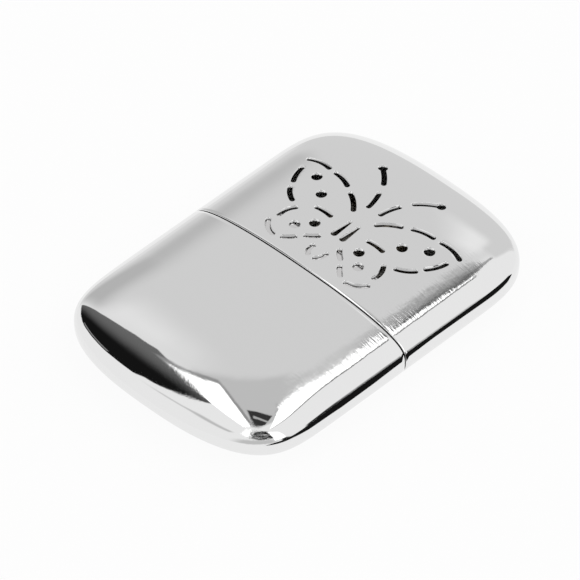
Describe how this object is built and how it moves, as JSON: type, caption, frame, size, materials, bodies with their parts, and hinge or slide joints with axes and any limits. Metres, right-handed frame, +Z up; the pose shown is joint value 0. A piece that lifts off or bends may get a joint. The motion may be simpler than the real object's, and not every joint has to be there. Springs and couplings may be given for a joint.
{
  "type": "catalytic hand warmer",
  "caption": "Flat polished metal pocket warmer: a rounded fuel tank, a pull-off catalytic burner on its neck, and a slip-on cap pierced with a butterfly of air vents.",
  "frame": {"origin": "under the middle of the closed case, on the surface that its back lies on", "axes": "+Y along the case towards the cap's end, +Z up out of the pierced front, +X across the case"},
  "size_m": [0.0666, 0.098, 0.0162],
  "materials": {
    "polished_case": "polished",
    "plain_steel": "satin",
    "gauze_wire": "satin",
    "catalyst_fibre": "matte",
    "felt": "matte",
    "cotton": "matte"
  },
  "bodies": {
    "tank": {"tank_shell": "polished_case", "cap_collar": "polished_case", "tank_shoulder": "polished_case", "filler_neck": "plain_steel", "wick_retainer": "plain_steel", "wick_felt": "felt", "cotton_wadding": "cotton"},
    "burner": {"burner_skirt": "plain_steel", "burner_deck": "plain_steel", "burner_frame": "plain_steel", "burner_end_left": "plain_steel", "burner_end_right": "plain_steel", "burner_rivets": "plain_steel", "catalyst_core": "gauze_wire", "catalyst_mat": "catalyst_fibre", "gauze_front": "gauze_wire", "gauze_rear": "gauze_wire"},
    "cap": {"cap_shell": "polished_case"}
  },
  "joints": [
    {"name": "cap_slide", "type": "slide", "parent": "tank", "child": "cap", "axis": [0, 1, 0], "range_m": [0, 0.045]},
    {"name": "burner_lift", "type": "slide", "parent": "tank", "child": "burner", "axis": [0, 1, 0], "range_m": [0, 0.012]}
  ]
}
